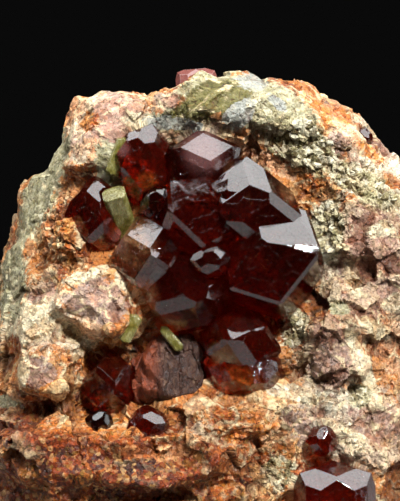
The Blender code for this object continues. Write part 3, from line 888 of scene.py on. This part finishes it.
# Growth on the clear faces: width of its hillocks and their waver, slope and step; then heights in
# millimetres of the lines, the fine grain and the broad waves.
HILLOCK = 1.7
HILLOCK_WAVER = 0.5
HILLOCK_RELIEF = (0.05, 0.006)
LINE_HEIGHT = 0.006
FINE_HEIGHT = 0.006
WAVE_HEIGHT = 0.05
DARKER = 0.6


def clear_garnet(name, per_metre, absorbed, body, painted_glow, clear):
    """Clear garnet with a little fine cloud and a painted glow. What it lets through depends on its depth.
    """
    made, tree = new_material(name)
    spot = scaled(tree, node(tree, "ShaderNodeTexCoord").outputs["Object"], 1 / MM)
    colour, away, _ = grains(tree, spot, HILLOCK, HILLOCK_WAVER)
    hillocks = grain_height(tree, colour, away, *HILLOCK_RELIEF)
    lines = noise(tree, vectors(tree, "MULTIPLY", spot, (1.2, 1.2, 5.0)), 1.6, 3.0, 0.6)
    fine = times(tree, noise(tree, spot, 4.0, 3.0, 0.6), FINE_HEIGHT)
    broad = times(tree, noise(tree, spot, 0.5, 1.0), WAVE_HEIGHT)
    relief = plus(tree, hillocks, plus(tree, fine, broad))
    relief = times_plus(tree, lines, LINE_HEIGHT, relief)
    bump = node(tree, "ShaderNodeBump", {"Height": relief, "Strength": 1.0, "Distance": MM})
    veil = times_plus(tree, noise(tree, spot, 0.8, 5.0, 0.65, 1.2), 0.7, 0.15)
    dark_body = tuple(DARKER * value for value in body)
    dark_painted_glow = tuple(DARKER * value for value in painted_glow)
    # Painted glow: the strongest veils take the glow colour, as if they caught light.
    deep = ramp(tree, veil, ((0.30, dark_body), (0.60, body), (0.70, painted_glow)))
    # Painted glow: the thin places' colour, a bright orange standing in for light let through.
    thin_painted_glow = ramp(tree, veil, ((0.34, dark_painted_glow), (0.50, painted_glow)))
    warm = nearness(tree, spot, PAINTED_GLOWS)
    skin = mixed_colour(tree, warm, deep, thin_painted_glow)
    cloudy_and_sheen = nearness(tree, spot, CLOUDS_AND_SHEEN)
    # Painted sheen, partly real cloud: a pale pinkish tint in these places.
    skin = mixed_colour(tree, times(tree, cloudy_and_sheen, CLOUD_AND_SHEEN_STRENGTH), skin, CLOUD_AND_SHEEN_TINT)
    flaws = times(tree, warm, between(tree, veil, 0.46, 0.62))
    milky = times_plus(tree, cloudy_and_sheen, CLOUD_MILK, times(tree, flaws, FLAW_MILK))
    shader = node(
        tree,
        "ShaderNodeBsdfPrincipled",
        {
            "Base Color": skin,
            "Roughness": 0.05,
            "IOR": 1.74,
            "Transmission Weight": sums(tree, "SUBTRACT", clear, milky),
            "Normal": bump.outputs[0],
        },
    )
    depth = node(tree, "ShaderNodeVolumeAbsorption", {"Color": (*absorbed, 1), "Density": per_metre})
    node(tree, "ShaderNodeOutputMaterial", {"Surface": shader.outputs[0], "Volume": depth.outputs[0]})
    return made


red_garnet = clear_garnet(
    "clear red garnet",
    per_metre=220.0,
    absorbed=(0.88, 0.48, 0.12),
    body=(0.17, 0.019, 0.008),
    painted_glow=(1.0, 0.52, 0.22),
    clear=0.97,
)
warm_garnet = clear_garnet(
    "warm red garnet",
    per_metre=240.0,
    absorbed=(0.96, 0.46, 0.12),
    body=(0.36, 0.030, 0.008),
    painted_glow=(1.0, 0.26, 0.045),
    clear=0.965,
)
dark_garnet = clear_garnet(
    "dark red garnet",
    per_metre=500.0,
    absorbed=(0.60, 0.30, 0.10),
    body=(0.12, 0.03, 0.02),
    painted_glow=(0.3, 0.08, 0.05),
    clear=0.98,
)
pink_garnet = clear_garnet(
    "pink garnet",
    per_metre=90.0,
    absorbed=(0.90, 0.55, 0.50),
    body=(0.26, 0.09, 0.075),
    painted_glow=(0.40, 0.20, 0.16),
    clear=0.25,
)
OTHER_THAN_WARM = {
    "garnet_main_cluster": red_garnet,
    "garnet_ledge_dark": dark_garnet,
    "garnet_crown": pink_garnet,
}
GARNET_WEAR = 0.03 * MM
CLEAR = [name for name in crystal_names if name.startswith("garnet_") and "broken" not in name]
for name in CLEAR:
    crystal = add_piece(name + "_crystal", crystal_mesh(name, GARNET_WEAR))
    crystal.data.materials.append(OTHER_THAN_WARM.get(name, warm_garnet))
    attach(crystal, "root")
    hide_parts(name)


# --- The broken garnet ----------------------------------------------------------------------------
# A garnet that broke across, left of the lower right one. Its break is rough, fibrous and grey brown,
# and its left flank is still red.

BROKEN_STEP = 0.18 * MM
broken, _ = finer_copy("garnet_broken_middle_crystal", "garnet_broken_middle", BROKEN_STEP)
dull_garnet, dull_tree = new_material("broken garnet")
FIBRE = 1.6  # millimetres
FIBRE_WAVER = 0.3
ROUGH = {"Rough": 0.5, "Fibre tilt": 0.5, "Fibre step": 0.35, "Height": 0.6}
fibres, fibre_sockets = new_shaping("rough break", ROUGH)
given = node(fibres, "NodeGroupInput").outputs
spot = scaled(fibres, node(fibres, "GeometryNodeInputPosition").outputs[0], 1 / MM)
drawn = vectors(fibres, "MULTIPLY", spot, (1.0, 1.0, 0.45))
colour, away, _ = grains(fibres, drawn, FIBRE, FIBRE_WAVER)
height = grain_height(fibres, colour, away, given["Fibre tilt"], given["Fibre step"])
ripple = node(fibres, "ShaderNodeTexNoise", {"Vector": drawn, "Scale": 1.3, "Detail": 3.0}).outputs[0]
height = times_plus(fibres, sums(fibres, "SUBTRACT", ripple, 0.55), given["Rough"], height)
push = scaled(fibres, node(fibres, "GeometryNodeInputNormal").outputs[0], height)
push = scaled(fibres, push, times(fibres, given["Height"], MM))
moved = node(
    fibres, "GeometryNodeSetPosition", {"Geometry": given["Geometry"], "Offset": push}
)
end_shaping(fibres, moved.outputs[0], dull_garnet)
shape(broken, fibres, fibre_sockets, ROUGH)

tree = dull_tree
FLANK = (-4.2, -6.6)  # the flank's red sets in between these places across, in millimetres
spot = scaled(tree, node(tree, "ShaderNodeTexCoord").outputs["Object"], 1 / MM)
drawn = vectors(tree, "MULTIPLY", spot, (1.5, 1.0, 0.85))
fibre = noise(tree, drawn, 1.3, 5.0, 0.7, 0.8)
tint = ramp(
    tree,
    fibre,
    (
        (0.36, (0.010, 0.003, 0.001)),
        (0.48, (0.036, 0.010, 0.004)),
        (0.60, (0.075, 0.032, 0.016)),
        (0.74, (0.21, 0.14, 0.08)),
    ),
)
side = between(tree, node(tree, "ShaderNodeSeparateXYZ", {0: spot}).outputs[0], *FLANK)
red = ramp(tree, fibre, ((0.35, (0.05, 0.008, 0.002)), (0.62, (0.26, 0.05, 0.012))))
tint = mixed_colour(tree, side, tint, red)
bump = node(tree, "ShaderNodeBump", {"Height": fibre, "Strength": 0.8, "Distance": 0.5 * MM})
shader = node(
    tree,
    "ShaderNodeBsdfPrincipled",
    {
        "Base Color": tint,
        "Roughness": between(tree, fibre, 0.3, 0.7, 0.3, 0.6),
        "Normal": bump.outputs[0],
    },
)
node(tree, "ShaderNodeOutputMaterial", {"Surface": shader.outputs[0]})
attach(broken, "root")
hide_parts("garnet_broken_middle")


# --- The green crystals ---------------------------------------------------------------------------
# Yellow green diopside prisms that grew between the garnets, partly see-through, with fine lines along
# their length.

green_crystal, tree = new_material("green diopside")
spot = scaled(tree, node(tree, "ShaderNodeTexCoord").outputs["Object"], 1 / MM)
lines = noise(tree, vectors(tree, "MULTIPLY", spot, (5.0, 5.0, 0.8)), 1.0, 3.0, 0.6)
cloud = noise(tree, spot, 0.9, 4.0, 0.6)
tint = ramp(
    tree,
    times_plus(tree, lines, 0.4, times(tree, cloud, 0.7)),
    ((0.36, (0.10, 0.085, 0.012)), (0.52, (0.30, 0.27, 0.06)), (0.70, (0.60, 0.56, 0.26))),
)
bump = node(tree, "ShaderNodeBump", {"Height": lines, "Strength": 0.7, "Distance": 0.15 * MM})
shader = node(
    tree,
    "ShaderNodeBsdfPrincipled",
    {
        "Base Color": tint,
        "Roughness": 0.18,
        "IOR": 1.68,
        "Transmission Weight": 0.6,
        "Normal": bump.outputs[0],
    },
)
node(tree, "ShaderNodeOutputMaterial", {"Surface": shader.outputs[0]})
PRISM_WEAR = 0.05 * MM
for name in crystal_names:
    if name.startswith("diopside"):
        prism = add_piece(name + "_crystal", crystal_mesh(name, PRISM_WEAR))
        prism.data.materials.append(green_crystal)
        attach(prism, "root")
        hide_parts(name)


# --- The studio -----------------------------------------------------------------------------------
# A small pale table in a dark room, with a wide soft lamp over it, a small strong one in front and
# weaker ones at the sides and behind.

TABLE_RADIUS = 0.11
table_mesh = bpy.data.meshes.new("table")
bm = bmesh.new()
bmesh.ops.create_circle(bm, cap_ends=True, segments=96, radius=TABLE_RADIUS)
bm.to_mesh(table_mesh)
bm.free()
table = add_piece("table", table_mesh)
paint, tree = new_material("pale paint")
spot = scaled(tree, node(tree, "ShaderNodeTexCoord").outputs["Object"], 1 / MM)
grain = noise(tree, spot, 0.4, 3.0)
shader = node(
    tree,
    "ShaderNodeBsdfPrincipled",
    {
        "Base Color": ramp(tree, grain, ((0.3, (0.17, 0.17, 0.165)), (0.7, (0.19, 0.19, 0.185)))),
        "Roughness": 0.6,
    },
)
node(tree, "ShaderNodeOutputMaterial", {"Surface": shader.outputs[0]})
table.data.materials.append(paint)


def soft_lamp(name, place, size, watts):
    """An even oblong lamp that looks at the middle of the crystal face; its place and size are in metres."""
    lamp = bpy.data.lights.new(name, "AREA")
    lamp.shape = "RECTANGLE"
    lamp.size, lamp.size_y = size
    lamp.energy = watts
    made = bpy.data.objects.new(name, lamp)
    bpy.context.scene.collection.objects.link(made)
    made.location = place
    made.rotation_euler = (FACE_MIDDLE - Vector(place)).to_track_quat("-Z", "Y").to_euler()


soft_lamp("lamp over the rock", (0.0, 0.0, 0.36), (0.58, 0.32), 2.9)
soft_lamp("small lamp in front", (0.13, -0.23, 0.34), (0.07, 0.07), 3.1)
soft_lamp("lamp at the left", (-0.34, 0.03, 0.16), (0.20, 0.26), 0.4)
soft_lamp("lamp at the right", (0.34, -0.04, 0.14), (0.18, 0.24), 0.3)
soft_lamp("lamp behind", (0.10, 0.36, 0.22), (0.30, 0.20), 0.4)

world = bpy.data.worlds.new("dark room")
bpy.context.scene.world = world
world.use_nodes = True
DARKNESS = (0.003, 0.003, 0.003, 1)
world.node_tree.nodes["Background"].inputs["Color"].default_value = DARKNESS
bpy.context.scene.view_settings.view_transform = "Standard"

VIEW_DISTANCE = 0.200
FOCAL_LENGTH = 115
NEAREST_SEEN = 0.01
lens = bpy.data.cameras.new("camera")
lens.lens = FOCAL_LENGTH
lens.clip_start = NEAREST_SEEN
camera = bpy.data.objects.new("camera", lens)
bpy.context.scene.collection.objects.link(camera)
camera.location = FACE_MIDDLE + Vector((0, -math.cos(FACE_LEAN), math.sin(FACE_LEAN))) * VIEW_DISTANCE
camera.rotation_euler = Euler((math.pi / 2 - FACE_LEAN, 0, 0))
bpy.context.scene.camera = camera
